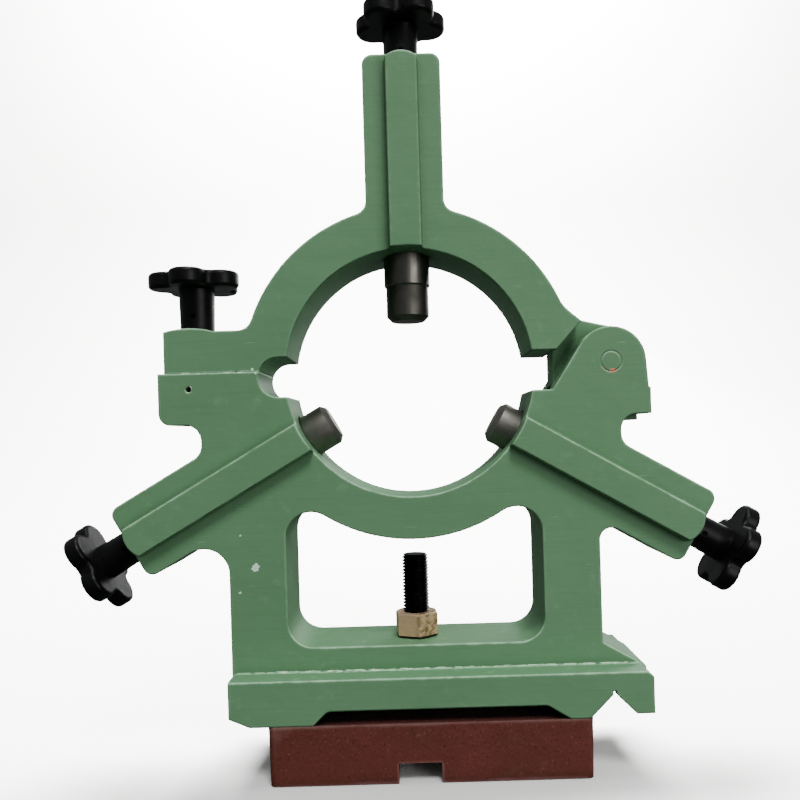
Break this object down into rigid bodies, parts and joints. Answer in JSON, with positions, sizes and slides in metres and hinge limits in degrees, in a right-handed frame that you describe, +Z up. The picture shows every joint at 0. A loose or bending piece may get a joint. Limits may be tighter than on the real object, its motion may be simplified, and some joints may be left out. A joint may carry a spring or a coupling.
{
  "type": "lathe steady rest",
  "caption": "Hinged cast-iron steady rest for a lathe, with screw-fed radial quills on star knobs, a clamp plate with bolt and nut, and a bed groove.",
  "frame": {"origin": "on the axis of the work, half way through the castings", "axes": "+Z up from the bed, +Y along the work away from the front face, +X to the right towards the hinge"},
  "size_m": [0.4239, 0.084, 0.4598],
  "materials": {
    "green_paint": "satin enamel, brushed on",
    "primed_iron": "matt red-brown primer, speckled",
    "knob_plastic": "moulded phenolic, satin",
    "quill_steel": "ground",
    "jaw_steel": "worn, oiled",
    "turned_steel": "turned",
    "black_steel": "black oxide",
    "zinc_steel": "zinc plated, aged"
  },
  "bodies": {
    "base": {"base_casting": "green_paint", "hinge_pin": "green_paint", "left_gland": "turned_steel", "right_gland": "turned_steel", "left_guide_screw": "black_steel", "right_guide_screw": "black_steel"},
    "arch": {"arch_casting": "green_paint", "top_gland": "turned_steel", "top_guide_screw": "black_steel"},
    "top_slide": {"top_quill": "quill_steel", "top_jaw_tip": "jaw_steel"},
    "top_feed": {"top_knob": "knob_plastic", "top_feed_screw": "turned_steel", "top_knob_pin": "turned_steel"},
    "left_slide": {"left_quill": "quill_steel", "left_jaw_tip": "jaw_steel"},
    "left_feed": {"left_knob": "knob_plastic", "left_feed_screw": "turned_steel", "left_knob_pin": "turned_steel"},
    "right_slide": {"right_quill": "quill_steel", "right_jaw_tip": "jaw_steel"},
    "right_feed": {"right_knob": "knob_plastic", "right_feed_screw": "turned_steel", "right_knob_pin": "turned_steel"},
    "lock_rider": {"lock_washer": "zinc_steel"},
    "lock": {"lock_knob": "knob_plastic", "lock_screw": "turned_steel", "lock_knob_pin": "turned_steel"},
    "clamp": {"clamp_plate": "primed_iron", "clamp_bolt": "black_steel"},
    "nut": {"clamp_nut": "zinc_steel"}
  },
  "joints": [
    {"name": "arch_hinge", "type": "hinge", "parent": "base", "child": "arch", "pos_m": [0.1185, 0, 0.0032], "axis": [0, 1, 0], "range_deg": [0, 105]},
    {"name": "top_knob_turn", "type": "hinge", "parent": "arch", "child": "top_feed", "pos_m": [0, 0, 0.187], "axis": [0, 0, 1], "range_deg": [-2161, 3481]},
    {"name": "top_quill_slide", "type": "slide", "parent": "arch", "child": "top_slide", "axis": [0, 0, 1], "range_m": [-0.018, 0.029]},
    {"name": "left_knob_turn", "type": "hinge", "parent": "base", "child": "left_feed", "pos_m": [-0.16758, 0, -0.09675], "axis": [-0.866, 0, -0.5], "range_deg": [-4741, 901]},
    {"name": "left_quill_slide", "type": "slide", "parent": "base", "child": "left_slide", "axis": [-0.866, 0, -0.5], "range_m": [-0.0395, 0.0075]},
    {"name": "right_knob_turn", "type": "hinge", "parent": "base", "child": "right_feed", "pos_m": [0.16758, 0, -0.09675], "axis": [0.866, 0, -0.5], "range_deg": [-5161, 481]},
    {"name": "right_quill_slide", "type": "slide", "parent": "base", "child": "right_slide", "axis": [0.866, 0, -0.5], "range_m": [-0.043, 0.004]},
    {"name": "lock_rise", "type": "slide", "parent": "arch", "child": "lock_rider", "axis": [0, 0, 1], "range_m": [0, 0.01401]},
    {"name": "lock_knob_turn", "type": "hinge", "parent": "lock_rider", "child": "lock", "pos_m": [-0.13, 0, 0.0295], "axis": [0, 0, 1], "range_deg": [0, 2880]},
    {"name": "clamp_nut_turn", "type": "hinge", "parent": "base", "child": "nut", "pos_m": [0, 0, -0.16], "axis": [0, 0, 1], "range_deg": [-1, 5401]},
    {"name": "clamp_drop", "type": "slide", "parent": "base", "child": "clamp", "axis": [0, 0, 1], "range_m": [-0.03, 0]}
  ],
  "couplings": [
    {"joint": "top_knob_turn", "follows": "top_quill_slide", "rad_per_m": 2094.4},
    {"joint": "left_knob_turn", "follows": "left_quill_slide", "rad_per_m": 2094.4},
    {"joint": "right_knob_turn", "follows": "right_quill_slide", "rad_per_m": 2094.4},
    {"joint": "lock_rise", "follows": "lock_knob_turn", "m_per_rad": 0.00027852},
    {"joint": "clamp_nut_turn", "follows": "clamp_drop", "rad_per_m": -3141.6}
  ]
}
